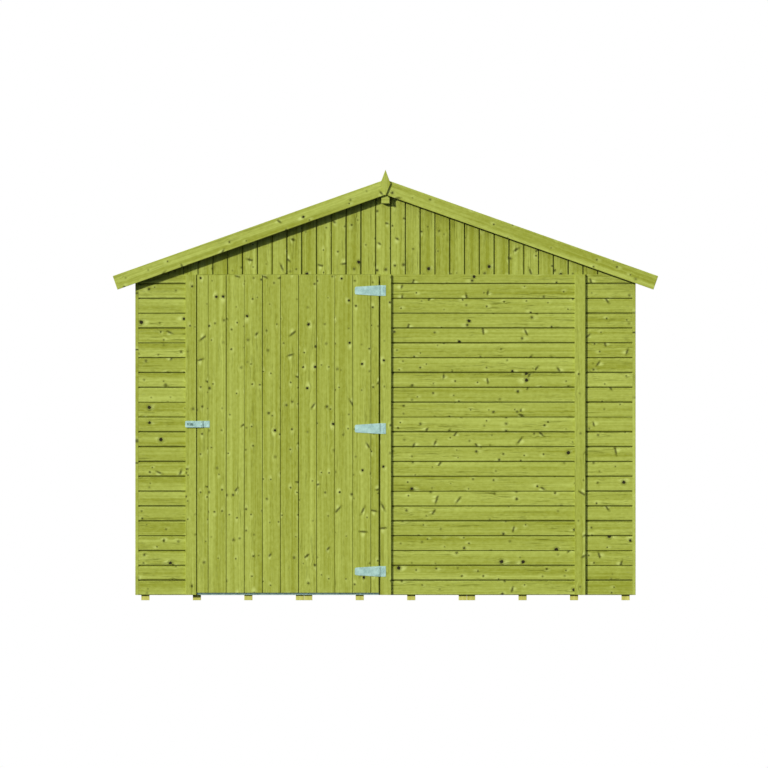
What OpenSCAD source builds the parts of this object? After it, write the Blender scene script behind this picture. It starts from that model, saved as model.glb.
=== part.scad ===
// Apex garden shed in pressure-treated timber: three floor panels on joists, framed and boarded
// wall panels, two gables, a ridge beam, a framed and felted roof, and one ledged and braced
// door on three tee hinges with a hasp and staple.
// +X is to the right seen from the front, the front faces -Y, +Z is up, and the ground is z = 0.

/* [Walls] */
// Width across the wall frames, outer face to outer face
frame_w = 2990; // [2600:10:3400]
// Depth across the wall frames, outer face to outer face
frame_d = 2390; // [1800:10:3000]
// Height of the wall tops above the ground
wall_top = 1987; // [1900:1:2200]
// Width of the narrow panel at each end of the front and the back
end_panel_w = 308; // [260:1:400]
// Width of the front panel that holds the door
door_panel_w = 1189; // [1000:1:1250]
// Width of each stud and rail, seen from inside
stud_w = 44; // [34:1:60]
// Depth of each stud and rail, from the boards inwards
stud_d = 28; // [25:1:45]
// Thickness of the tongued and grooved wall boards
board_t = 12; // [10:1:20]
// How far the wall boards hang down below the floor's top
board_skirt = 18; // [10:1:40]
// Joint left between two panels that stand side by side
panel_gap = 1; // [0.5:0.5:3]
// Height of the middle rail's centre above the floor's top
mid_rail_z = 950; // [700:10:1200]

/* [Trims] */
// Width of the strips that cover the panel joints
strip_w = 66; // [60:1:80]
// Thickness of the strips that cover the panel joints
strip_t = 15; // [12:1:20]
// Width of the trims on the four corners
trim_w = 66; // [50:1:90]
// Thickness of the trims on the four corners
trim_t = 19; // [12:1:25]

/* [Floor] */
// Number of floor panels side by side
floor_panels = 3; // [2:1:4]
// Number of joists under each floor panel
panel_joists = 4; // [3:1:6]
// Width of a floor joist
joist_w = 50; // [40:1:60]
// Height of a floor joist
joist_h = 38; // [32:1:75]
// Thickness of the floor boards
floor_t = 12; // [10:1:25]
// How far the floor's edge lies inside the wall frames' outer face
floor_inset = 5; // [2:1:10]
// Thickness of the folded metal threshold plate
threshold_t = 2; // [1:0.5:3]
// Depth of the threshold plate, from its lip inwards
threshold_d = 38; // [24:1:40]
// Height of the threshold plate's lip, measured down from the floor's top
threshold_lip = 16; // [8:1:24]
// Gap between the door's back and the threshold plate's lip
threshold_gap = 5; // [5:0.5:8]

/* [Roof] */
// Slope of the roof, in degrees
pitch = 19.5; // [15:0.5:25]
// How far the roof reaches out past the side wall frames, measured level
eaves_reach = 169; // [120:1:200]
// How far the roof reaches out past the gable boards, to the back of the barge boards
gable_reach = 39; // [20:1:80]
// Thickness of the roofing felt
felt_t = 3; // [2:0.5:4]
// Depth of the felt that is folded down over the eaves
felt_fold = 45; // [20:1:60]
// Thickness of the roof boards
roof_board_t = 12; // [10:1:20]
// Depth of the rails and rafters under the roof boards
rafter_d = 28; // [25:1:45]
// Width of the rails and rafters under the roof boards
rafter_w = 44; // [34:1:60]
// Number of rafters along each roof slope
rafters = 5; // [3:1:7]
// Width of the batten under the lower edge of the roof boards
batten_w = 28; // [20:1:40]
// Width of the ridge beam
ridge_w = 50; // [40:1:75]
// Height of the ridge beam at its middle
ridge_h = 100; // [80:1:150]
// Width of the barge boards
barge_w = 88; // [80:1:120]
// Thickness of the barge boards
barge_t = 16; // [12:1:22]
// Width of the diamond that covers the barge boards' joint
finial_w = 62; // [40:1:80]
// Thickness of that diamond
finial_t = 12; // [8:1:20]
// Gap between the sloping faces that rest on each other
seat_gap = 0.2; // [0.1:0.1:0.5]
// How far the diamond's tip stands above the ridge
finial_rise = 60; // [30:1:90]
// Depth of the diamond's widest place below the ridge
finial_shoulder = 24; // [15:1:40]
// Depth of the diamond's lower tip below the ridge
finial_tip = 100; // [96:1:110]
// Distance of the gables' side posts from the middle
gable_post_x = 620; // [400:10:900]

/* [Door] */
// Gap between the door and the strip on its latch side
latch_gap = 5; // [5:1:8]
// Gap between the door and the strip on its hinge side
hinge_gap = 11; // [10:1:14]
// Height of the door's lower edge above the ground
door_bottom = 46; // [40:1:60]
// Gap between the door's upper edge and the gable boards
door_head_gap = 5; // [5:1:20]
// Thickness of the stop behind the door's upper edge
stop_t = 10; // [8:1:10]
// Thickness of the door's ledges and braces
ledge_t = 28; // [20:1:30]
// Width of the door's ledges and braces
ledge_w = 90; // [70:1:95]
// Gap between the ends of the ledges and the jambs
ledge_gap = 6; // [6:1:12]
// Height of the lowest hinge's centre above the door's lower edge
hinge_low = 130; // [100:1:200]
// Height of the middle hinge's centre above the door's lower edge
hinge_mid = 1001; // [800:1:1200]
// Distance of the highest hinge's centre below the door's upper edge
hinge_high = 93; // [93:1:200]

/* [Tee hinges] */
// Length of the hinge strap from the pin to its tip
strap_l = 150; // [120:1:250]
// Height of the strap beside the pin, and of the plate
strap_h = 64; // [50:1:80]
// Height of the strap at its tip
strap_tip_h = 46; // [30:1:50]
// Length by which the strap's two tip corners are cut off
strap_chamfer = 6; // [3:1:10]
// Width of the plate on the strip
plate_w = 33; // [28:1:44]
// Thickness of the hinge and hasp metal
metal_t = 2; // [1.5:0.5:3]
// Distance of the pins in front of the door's face
pin_out = 3.2; // [3.2:0.1:4.5]
// Distance of the pins beside the strip that holds the hinges
pin_side = 6; // [5:0.5:8]
// Outer radius of the hinge knuckles
knuckle_r = 3.5; // [3.5:0.1:4]
// Radius of the hinge pins
pin_r = 2; // [1.5:0.1:2.1]
// Running gap between a pin and the knuckles that turn on it
pin_clear = 0.3; // [0.2:0.05:0.4]
// Gap between neighbouring knuckles
knuckle_gap = 0.6; // [0.4:0.1:1]
// Gap between a knuckle and the notch that it turns in
notch_gap = 1; // [0.6:0.1:1.5]

/* [Hasp and staple] */
// Height of the hasp's centre above the door's lower edge
hasp_z = 1028; // [900:1:1200]
// Height of the hasp's plates
hasp_h = 40; // [36:1:60]
// Distance of the hasp's pin from the door's latch edge
hasp_inset = 31; // [30:1:60]
// Width of the hasp's leaf on the door
hasp_leaf_w = 45; // [30:1:60]
// Distance of the hasp's pin in front of the door's face
hasp_pin_out = 5; // [5:0.5:6]
// Outer radius of the hasp's knuckles
hasp_knuckle_r = 4.5; // [4.5:0.1:5]
// Radius of the hasp's pin
hasp_pin_r = 2.5; // [2:0.1:2.8]
// Length of the hasp's arm from its pin
hasp_arm_l = 104; // [100:1:118]
// Distance of the staple from the hasp's pin
staple_x = 74; // [70:1:78]
// Width of the staple's base plate
staple_base_w = 34; // [32:1:38]
// Distance between the middles of the staple's legs
staple_span = 20; // [18:1:22]
// Radius of the staple's rod
staple_r = 3; // [2.5:0.5:3.5]
// Length of the staple's straight legs in front of the strip
staple_leg = 12; // [11:1:18]
// Gap round the staple in the arm's slot
slot_gap = 4; // [3:0.5:5]
// Corner radius of the hasp's arm at its free end
hasp_corner_r = 8; // [4:1:12]

/* [Hidden] */

// Colours of the materials
timber = [0.62, 0.66, 0.29];
treated_floor = [0.74, 0.76, 0.45];
zinc = [0.66, 0.79, 0.77];
felt_green = [0.27, 0.33, 0.27];

// Small overlap that makes a cut run right through
through = 1;
round_fn = 48;

// Planes of the walls
half_w = frame_w / 2;
half_d = frame_d / 2;
inner_x = half_w - stud_d;
inner_y = half_d - stud_d;
board_x = half_w + board_t;
board_y = half_d + board_t;
strip_y = board_y + strip_t;
floor_top = joist_h + floor_t;
board_bottom = floor_top - board_skirt;

// Joints between the front panels and between the back panels
joint_left = -half_w + end_panel_w;
joint_door = joint_left + door_panel_w;
joint_right = half_w - end_panel_w;
back_joints = [joint_left, 0, joint_right];
front_joints = [joint_left, joint_door, joint_right];

// Heights in the wall frames
bottom_rail_top = floor_top + stud_w;
top_rail_bottom = wall_top - stud_w;
mid_z = floor_top + mid_rail_z;

// Depths of the roof's layers, measured square to the slope from the felt's top
boards_under = felt_t + roof_board_t;
rafters_over = boards_under + seat_gap;
rafters_under = rafters_over + rafter_d;
seat_under = rafters_under + seat_gap;
gable_rafter_under = rafters_over + stud_w;

// The rafters rest on the outer top edges of the side wall boards
ridge_z = wall_top + board_x * tan(pitch) + seat_under / cos(pitch);
slope_l = (half_w + eaves_reach) / cos(pitch);
roof_y = board_y + gable_reach;
barge_y = roof_y + barge_t;
eave_rail_end = (board_x + rafters_under * sin(pitch)) / cos(pitch);
eave_rail_start = eave_rail_end - rafter_w;
ridge_rail_end = ridge_w / 2 / cos(pitch) + rafter_w;
mid_rail_s = (ridge_rail_end + eave_rail_start) / 2;
ridge_beam_bottom = roof_z(0, seat_under) - ridge_h;

// The door leaf between its strips
strip_half = strip_w / 2;
hinge_strip_edge = joint_door - strip_half;
door_x0 = joint_left + strip_half + latch_gap;
door_x1 = hinge_strip_edge - hinge_gap;
door_top = wall_top - door_head_gap;
door_y = strip_y;
jamb_left_in = joint_left + panel_gap / 2 + stud_w;
jamb_right_in = joint_door - panel_gap / 2 - stud_w;
ledge_x0 = jamb_left_in + ledge_gap;
ledge_x1 = jamb_right_in - ledge_gap;
ledge_y = door_y - board_t;
hinge_heights = [door_bottom + hinge_low, door_bottom + hinge_mid, door_top - hinge_high];

// Pins of the hinges and of the hasp
hinge_pin_x = hinge_strip_edge - pin_side;
pin_y = door_y + pin_out;
hasp_pin_y = door_y + hasp_pin_out;
hinge_knuckles = 5;
hasp_knuckles = 3;
hasp_pin_x = door_x0 + hasp_inset;
hasp_centre_z = door_bottom + hasp_z;
arm_front = hasp_knuckle_r;
slot_l = staple_span + 2 * (staple_r + slot_gap);
slot_h = 2 * (staple_r + slot_gap);

// Height of the roof at a level distance x from the ridge, d below the felt's top
function roof_z(x, d) = ridge_z - abs(x) * tan(pitch) - d / cos(pitch);

// Level distance from the ridge at which that surface is at height z
function roof_x(z, d) = (ridge_z - d / cos(pitch) - z) / tan(pitch);

// Point at s down the slope from the ridge and d square below the felt's top
function slope_point(s, d) = [
    s * cos(pitch) - d * sin(pitch),
    ridge_z - s * sin(pitch) - d * cos(pitch)
];

// Outline of a layer from depth d0 to d1, cut upright at x0 and square at s1 down the slope
function slope_layer(d0, d1, x0, s1) = [
    [x0, roof_z(x0, d0)],
    slope_point(s1, d0),
    slope_point(s1, d1),
    [x0, roof_z(x0, d1)]
];

// Outline of a piece with both ends square to the slope
function slope_piece(d0, d1, s0, s1) = [
    slope_point(s0, d0),
    slope_point(s1, d0),
    slope_point(s1, d1),
    slope_point(s0, d1)
];

// Box from its low corner to its high corner
module block(low, high) {
    translate(low)
        cube(high - low);
}

// An X-Z outline carried along Y from y0 to y1
module along_y(outline, y0, y1) {
    translate([0, y1, 0])
        rotate([90, 0, 0])
            linear_extrude(y1 - y0)
                polygon(outline);
}

// An X-Z outline of thickness t that stands in front of the plane y = -y_face
module on_front(outline, y_face, t) {
    along_y(outline, -y_face - t, -y_face);
}

module both_ends() {
    children();
    mirror([0, 1, 0])
        children();
}

module both_sides() {
    children();
    mirror([1, 0, 0])
        children();
}

// Joists under one floor panel after the other
module floor_joists() {
    panel_w = (frame_w - 2 * floor_inset) / floor_panels;
    pitch_x = (panel_w - panel_gap - joist_w) / (panel_joists - 1);
    y_end = half_d - floor_inset;
    color(treated_floor)
        for (p = [0 : floor_panels - 1], j = [0 : panel_joists - 1]) {
            x0 = -half_w + floor_inset + p * panel_w + panel_gap / 2 + j * pitch_x;
            block([x0, -y_end, 0], [x0 + joist_w, y_end, joist_h]);
        }
}

module floor_boards() {
    panel_w = (frame_w - 2 * floor_inset) / floor_panels;
    y_end = half_d - floor_inset;
    color(treated_floor)
        for (p = [0 : floor_panels - 1]) {
            x0 = -half_w + floor_inset + p * panel_w + panel_gap / 2;
            block([x0, -y_end, joist_h], [x0 + panel_w - panel_gap, y_end, floor_top]);
        }
}

// Folded strip over the floor's edge in the doorway
module threshold_plate() {
    front = ledge_y - threshold_gap;
    plate_top = floor_top + threshold_t;
    color(zinc) {
        block([door_x0, -front, floor_top - threshold_lip], [door_x1, -front + threshold_t, plate_top]);
        block([jamb_left_in, -front, floor_top], [jamb_right_in, -front + threshold_d, plate_top]);
    }
}

// Boards of a wall parallel to X, from x0 to x1, on the front
module front_boards(x0, x1) {
    color(timber)
        block([x0, -board_y, board_bottom], [x1, -half_d, wall_top]);
}

module front_cladding_left() {
    front_boards(-board_x, joint_left + strip_half);
}

module front_cladding_right() {
    front_boards(hinge_strip_edge, joint_right - panel_gap / 2);
}

module front_cladding_end() {
    front_boards(joint_right + panel_gap / 2, board_x);
}

module back_cladding() {
    mirror([0, 1, 0])
        front_boards(-board_x, board_x);
}

module right_cladding() {
    color(timber)
        block([half_w, -half_d, board_bottom], [board_x, half_d, wall_top]);
}

module left_cladding() {
    mirror([1, 0, 0])
        right_cladding();
}

// Ends of a panel between two joints, drawn in by the joint's gap where a panel stands beside it
function panel_start(a) = abs(a) < half_w ? a + panel_gap / 2 : a;
function panel_end(b) = abs(b) < half_w ? b - panel_gap / 2 : b;

// Left edges of the studs in a panel from a to b: one at each end, and one in a wide panel's middle
function stud_places(a, b) = b - a > 2 * end_panel_w
    ? [panel_start(a), (a + b - stud_w) / 2, panel_end(b) - stud_w]
    : [panel_start(a), panel_end(b) - stud_w];

// Studs of one panel in the front frame
module panel_studs(a, b) {
    for (x = stud_places(a, b))
        block([x, -half_d, bottom_rail_top], [x + stud_w, -inner_y, top_rail_bottom]);
}

// Bottom, middle and top rails of one panel in the front frame
module panel_rails(a, b) {
    places = stud_places(a, b);
    x0 = panel_start(a);
    x1 = panel_end(b);
    block([x0, -half_d, floor_top], [x1, -inner_y, bottom_rail_top]);
    block([x0, -half_d, top_rail_bottom], [x1, -inner_y, wall_top]);
    for (i = [0 : len(places) - 2])
        block(
            [places[i] + stud_w, -half_d, mid_z - stud_w / 2],
            [places[i + 1], -inner_y, mid_z + stud_w / 2]
        );
}

module front_studs() {
    color(timber) {
        panel_studs(-half_w, joint_left);
        panel_studs(joint_door, joint_right);
        panel_studs(joint_right, half_w);
    }
}

// Jambs, and the stop that closes the gap over the door
module door_jambs() {
    stop_x0 = joint_left + strip_half + panel_gap;
    stop_x1 = hinge_strip_edge - panel_gap;
    color(timber) {
        for (x = [jamb_left_in - stud_w, jamb_right_in])
            block([x, -half_d, floor_top], [x + stud_w, -inner_y, top_rail_bottom]);
        block(
            [stop_x0, -half_d - stop_t, top_rail_bottom + panel_gap],
            [stop_x1, -half_d, wall_top]
        );
    }
}

// Top rail of the door's panel
module door_head() {
    x0 = panel_start(joint_left);
    x1 = panel_end(joint_door);
    block([x0, -half_d, top_rail_bottom], [x1, -inner_y, wall_top]);
}

module back_studs() {
    edges = concat([-half_w], back_joints, [half_w]);
    color(timber)
        mirror([0, 1, 0])
            for (i = [0 : len(edges) - 2])
                panel_studs(edges[i], edges[i + 1]);
}

// Front edges of the studs in the right-hand wall's front panel
side_stud_places = [-inner_y, (-inner_y - stud_w) / 2, -panel_gap / 2 - stud_w];

module side_studs() {
    color(timber)
        both_sides()
            both_ends()
                for (y = side_stud_places)
                    block([inner_x, y, bottom_rail_top], [half_w, y + stud_w, top_rail_bottom]);
}

// Bottom and middle rails of the right-hand wall's front panel
module side_panel_rails() {
    block([inner_x, -inner_y, floor_top], [half_w, -panel_gap / 2, bottom_rail_top]);
    for (i = [0 : len(side_stud_places) - 2])
        block(
            [inner_x, side_stud_places[i] + stud_w, mid_z - stud_w / 2],
            [half_w, side_stud_places[i + 1], mid_z + stud_w / 2]
        );
}

// Rails of the front and the back
module wall_rails() {
    edges = concat([-half_w], back_joints, [half_w]);
    color(timber) {
        panel_rails(-half_w, joint_left);
        door_head();
        panel_rails(joint_door, joint_right);
        panel_rails(joint_right, half_w);
        mirror([0, 1, 0])
            for (i = [0 : len(edges) - 2])
                panel_rails(edges[i], edges[i + 1]);
    }
}

module side_rails() {
    color(timber)
        both_sides()
            both_ends()
                side_panel_rails();
}

// Top rails of the side walls, bevelled to the roof's slope
module eaves_rails() {
    outline = [
        [inner_x, top_rail_bottom],
        [half_w, top_rail_bottom],
        [half_w, roof_z(half_w, seat_under)],
        [inner_x, roof_z(inner_x, seat_under)]
    ];
    color(timber)
        both_sides()
            both_ends()
                along_y(outline, -inner_y, -panel_gap / 2);
}

// Strip over a panel joint at x on the front
module cover_strip(x) {
    block([x - strip_half, -strip_y, board_bottom], [x + strip_half, -board_y, wall_top]);
}

module front_cover_strips() {
    color(timber)
        for (x = front_joints)
            cover_strip(x);
}

module back_cover_strips() {
    color(timber)
        mirror([0, 1, 0])
            for (x = back_joints)
                cover_strip(x);
}

module side_cover_strips() {
    color(timber)
        both_sides()
            block([board_x, -strip_half, board_bottom], [board_x + strip_t, strip_half, wall_top]);
}

module corner_trims() {
    color(timber)
        both_sides()
            both_ends()
                block(
                    [board_x, -board_y, board_bottom],
                    [board_x + trim_t, -board_y + trim_w, wall_top]
                );
}

// Section of the ridge beam, with its top bevelled both ways
ridge_section = [
    [-ridge_w / 2, ridge_beam_bottom],
    [ridge_w / 2, ridge_beam_bottom],
    [ridge_w / 2, roof_z(ridge_w / 2, seat_under)],
    [0, roof_z(0, seat_under)],
    [-ridge_w / 2, roof_z(ridge_w / 2, seat_under)]
];

// Boards of the gable's right half, notched for the ridge beam
module gable_boards_half() {
    outline = [
        [0, wall_top],
        [board_x, wall_top],
        [board_x, roof_z(board_x, rafters_over)],
        [0, roof_z(0, rafters_over)]
    ];
    difference() {
        on_front(outline, half_d, board_t);
        along_y(ridge_section, -board_y - through, -half_d + through);
    }
}

module front_gable_right() {
    color(timber)
        gable_boards_half();
}

module front_gable_left() {
    mirror([1, 0, 0])
        front_gable_right();
}

module back_gable() {
    mirror([0, 1, 0]) {
        front_gable_left();
        front_gable_right();
    }
}

// Rail at the foot of each gable, cut to the slope at its ends
module gable_soles() {
    sole_top = wall_top + stud_w;
    outline = [
        [-half_w, wall_top],
        [half_w, wall_top],
        [half_w, roof_z(half_w, rafters_over)],
        [roof_x(sole_top, rafters_over), sole_top],
        [-roof_x(sole_top, rafters_over), sole_top],
        [-half_w, roof_z(half_w, rafters_over)]
    ];
    color(timber)
        both_ends()
            on_front(outline, inner_y, stud_d);
}

module gable_posts() {
    sole_top = wall_top + stud_w;
    x0 = gable_post_x - stud_w / 2;
    x1 = gable_post_x + stud_w / 2;
    side_post = [
        [x0, sole_top],
        [x1, sole_top],
        [x1, roof_z(x1, gable_rafter_under + seat_gap)],
        [x0, roof_z(x0, gable_rafter_under + seat_gap)]
    ];
    color(timber)
        both_ends() {
            block([-stud_w / 2, -half_d, sole_top], [stud_w / 2, -inner_y, ridge_beam_bottom]);
            both_sides()
                on_front(side_post, inner_y, stud_d);
        }
}

module gable_rafters() {
    sole_top = wall_top + stud_w;
    x0 = ridge_w / 2;
    outline = [
        [x0, roof_z(x0, gable_rafter_under)],
        [roof_x(sole_top, gable_rafter_under), sole_top],
        [roof_x(sole_top, rafters_over), sole_top],
        [x0, roof_z(x0, rafters_over)]
    ];
    color(timber)
        both_ends()
            both_sides()
                on_front(outline, inner_y, stud_d);
}

module ridge_beam() {
    color(timber)
        along_y(ridge_section, -roof_y, roof_y);
}

// Rails along the ridge, the middle and the eaves of both roof slopes
module roof_rails() {
    color(timber)
        both_sides() {
            along_y(
                slope_layer(rafters_over, rafters_under, panel_gap / 2, ridge_rail_end),
                -inner_y,
                inner_y
            );
            along_y(
                slope_piece(
                    rafters_over,
                    rafters_under,
                    mid_rail_s - rafter_w / 2,
                    mid_rail_s + rafter_w / 2
                ),
                -inner_y,
                inner_y
            );
            along_y(
                slope_piece(rafters_over, rafters_under, eave_rail_start, eave_rail_end),
                -inner_y,
                inner_y
            );
        }
}

// Rafters between those rails
module roof_rafters() {
    bays = [
        [ridge_rail_end + seat_gap, mid_rail_s - rafter_w / 2 - seat_gap],
        [mid_rail_s + rafter_w / 2 + seat_gap, eave_rail_start - seat_gap]
    ];
    spacing = (2 * inner_y - rafter_w) / (rafters - 1);
    color(timber)
        both_sides()
            for (bay = bays, i = [0 : rafters - 1]) {
                y0 = -inner_y + i * spacing;
                along_y(slope_piece(rafters_over, rafters_under, bay[0], bay[1]), y0, y0 + rafter_w);
            }
}

module roof_boards_right() {
    s1 = slope_l - felt_t - seat_gap;
    color(timber)
        along_y(slope_layer(felt_t + seat_gap, boards_under, 0, s1), -roof_y, roof_y);
}

module roof_boards_left() {
    mirror([1, 0, 0])
        roof_boards_right();
}

// Felt over one slope, folded down over the eaves
module roof_felt_right() {
    outline = [
        [0, roof_z(0, 0)],
        slope_point(slope_l, 0),
        slope_point(slope_l, felt_fold),
        slope_point(slope_l - felt_t, felt_fold),
        slope_point(slope_l - felt_t, felt_t),
        [0, roof_z(0, felt_t)]
    ];
    color(felt_green)
        along_y(outline, -roof_y, roof_y);
}

module roof_felt_left() {
    mirror([1, 0, 0])
        roof_felt_right();
}

// Battens that stiffen the lower edges of the roof boards
module eaves_battens() {
    s1 = slope_l - felt_t - seat_gap;
    color(timber)
        both_sides()
            along_y(slope_piece(rafters_over, rafters_under, s1 - batten_w, s1), -roof_y, roof_y);
}

module barge_boards_right() {
    color(timber)
        both_ends()
            on_front(slope_layer(0, barge_w, 0, slope_l), roof_y, barge_t);
}

module barge_boards_left() {
    mirror([1, 0, 0])
        barge_boards_right();
}

// Diamonds over the joints of the barge boards
module finials() {
    outline = [
        [0, ridge_z + finial_rise],
        [finial_w / 2, ridge_z - finial_shoulder],
        [0, ridge_z - finial_tip],
        [-finial_w / 2, ridge_z - finial_shoulder]
    ];
    color(timber)
        both_ends()
            on_front(outline, barge_y, finial_t);
}

// Knuckles number first, first + 2 and so on, out of count along a barrel of height h
module knuckles(h, r, count, first) {
    step = h / count;
    for (i = [first : 2 : count - 1])
        translate([0, 0, -h / 2 + i * step + knuckle_gap / 2])
            cylinder(h = step - knuckle_gap, r = r, $fn = round_fn);
}

// Notches for the other leaf's knuckles
module knuckle_notches(h, r, count, first) {
    step = h / count;
    reach = r + notch_gap;
    for (i = [first : 2 : count - 1]) {
        low = i == 0 ? -through : i * step;
        high = i == count - 1 ? h + through : (i + 1) * step;
        translate([-reach, -reach, low - h / 2])
            cube([2 * reach, 2 * reach, high - low]);
    }
}

module pin(h, r) {
    cylinder(h = h, r = r, center = true, $fn = round_fn);
}

module pin_bore(h, r) {
    cylinder(h = h + 2 * through, r = r + pin_clear, center = true, $fn = round_fn);
}

// Fixed plate of one tee hinge, with the pin, about the pin's middle
module hinge_plate() {
    difference() {
        block([0, pin_out - metal_t, -strap_h / 2], [plate_w + pin_side, pin_out, strap_h / 2]);
        knuckle_notches(strap_h, knuckle_r, hinge_knuckles, 1);
    }
    knuckles(strap_h, knuckle_r, hinge_knuckles, 0);
    pin(strap_h, pin_r);
}

// Tapered strap of one tee hinge, with the two knuckles that turn on the pin
module hinge_strap() {
    outline = [
        [0, -strap_h / 2],
        [0, strap_h / 2],
        [-strap_l + strap_chamfer, strap_tip_h / 2],
        [-strap_l, strap_tip_h / 2 - strap_chamfer],
        [-strap_l, -strap_tip_h / 2 + strap_chamfer],
        [-strap_l + strap_chamfer, -strap_tip_h / 2]
    ];
    difference() {
        union() {
            difference() {
                along_y(outline, pin_out - metal_t, pin_out);
                knuckle_notches(strap_h, knuckle_r, hinge_knuckles, 0);
            }
            knuckles(strap_h, knuckle_r, hinge_knuckles, 1);
        }
        pin_bore(strap_h, pin_r);
    }
}

module hinge_plates() {
    color(zinc)
        for (z = hinge_heights)
            translate([hinge_pin_x, -pin_y, z])
                hinge_plate();
}

module hinge_straps() {
    color(zinc)
        for (z = hinge_heights)
            translate([hinge_pin_x, -pin_y, z])
                hinge_strap();
}

// Staple on the strip: base plate, two legs and a half-round bow
module hasp_staple() {
    color(zinc)
        translate([hasp_pin_x - staple_x, -strip_y, hasp_centre_z]) {
            block(
                [-staple_base_w / 2, -metal_t, -hasp_h / 2],
                [staple_base_w / 2, 0, hasp_h / 2]
            );
            for (side = [-1, 1])
                translate([side * staple_span / 2, 0, 0])
                    rotate([90, 0, 0])
                        cylinder(h = staple_leg, r = staple_r, $fn = round_fn);
            translate([0, -staple_leg, 0])
                rotate([0, 0, 180])
                    rotate_extrude(angle = 180, $fn = round_fn)
                        translate([staple_span / 2, 0])
                            circle(r = staple_r, $fn = round_fn);
        }
}

// Leaf of the hasp on the door, with the pin
module hasp_leaf() {
    color(zinc)
        translate([hasp_pin_x, -hasp_pin_y, hasp_centre_z]) {
            difference() {
                block(
                    [0, hasp_pin_out - metal_t, -hasp_h / 2],
                    [hasp_leaf_w, hasp_pin_out, hasp_h / 2]
                );
                knuckle_notches(hasp_h, hasp_knuckle_r, hasp_knuckles, 1);
            }
            knuckles(hasp_h, hasp_knuckle_r, hasp_knuckles, 0);
            pin(hasp_h, hasp_pin_r);
        }
}

// Arm of the hasp, slotted for the staple, with the knuckle that turns on the pin
module hasp_arm() {
    corner = hasp_h / 2 - hasp_corner_r;
    color(zinc)
        translate([hasp_pin_x, -hasp_pin_y, hasp_centre_z])
            difference() {
                union() {
                    difference() {
                        translate([0, metal_t - arm_front, 0])
                            rotate([90, 0, 0])
                                linear_extrude(metal_t)
                                    union() {
                                        translate([-hasp_arm_l + hasp_corner_r, -hasp_h / 2])
                                            square([hasp_arm_l - hasp_corner_r, hasp_h]);
                                        translate([-hasp_arm_l, -corner])
                                            square([hasp_corner_r, 2 * corner]);
                                        for (side = [-1, 1])
                                            translate([-hasp_arm_l + hasp_corner_r, side * corner])
                                                circle(r = hasp_corner_r, $fn = round_fn);
                                    }
                        knuckle_notches(hasp_h, hasp_knuckle_r, hasp_knuckles, 0);
                    }
                    knuckles(hasp_h, hasp_knuckle_r, hasp_knuckles, 1);
                }
                pin_bore(hasp_h, hasp_pin_r);
                block(
                    [-staple_x - slot_l / 2, -arm_front - through, -slot_h / 2],
                    [-staple_x + slot_l / 2, -arm_front + metal_t + through, slot_h / 2]
                );
            }
}

module door_boards() {
    color(timber)
        block([door_x0, -door_y, door_bottom], [door_x1, -ledge_y, door_top]);
}

// Three level ledges behind the hinges
module door_ledges() {
    color(timber)
        for (z = hinge_heights)
            block(
                [ledge_x0, -ledge_y, z - ledge_w / 2],
                [ledge_x1, -ledge_y + ledge_t, z + ledge_w / 2]
            );
}

// Braces that rise from the hinge side to the latch side between the ledges
module door_braces() {
    for (i = [0 : len(hinge_heights) - 2]) {
        z0 = hinge_heights[i] + ledge_w / 2;
        z1 = hinge_heights[i + 1] - ledge_w / 2;
        rise = atan2(z1 - z0, ledge_x1 - ledge_x0);
        foot = ledge_w / sin(rise);
        outline = [
            [ledge_x1 - foot, z0],
            [ledge_x1, z0],
            [ledge_x0 + foot, z1],
            [ledge_x0, z1]
        ];
        color(timber)
            along_y(outline, -ledge_y, -ledge_y + ledge_t);
    }
}

floor_joists();
floor_boards();
threshold_plate();
front_cladding_left();
front_cladding_right();
front_cladding_end();
back_cladding();
left_cladding();
right_cladding();
front_studs();
door_jambs();
back_studs();
side_studs();
wall_rails();
side_rails();
eaves_rails();
front_cover_strips();
back_cover_strips();
side_cover_strips();
corner_trims();
front_gable_left();
front_gable_right();
back_gable();
gable_soles();
gable_posts();
gable_rafters();
ridge_beam();
roof_rails();
roof_rafters();
roof_boards_left();
roof_boards_right();
roof_felt_left();
roof_felt_right();
eaves_battens();
barge_boards_left();
barge_boards_right();
finials();
hinge_plates();
hasp_staple();
door_boards();
door_ledges();
door_braces();
hinge_straps();
hasp_leaf();
hasp_arm();
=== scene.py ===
# %% [markdown]
# # An apex garden shed in treated timber
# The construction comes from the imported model: every stud, rail, hinge and board has its place there.
# Blender's job is the finish. Slabs become separate tongued and grooved boards, square sticks get planed
# arrises and a grain of their own, and the metal gets its zinc.

# %% Load the frame
import math
import random

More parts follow.
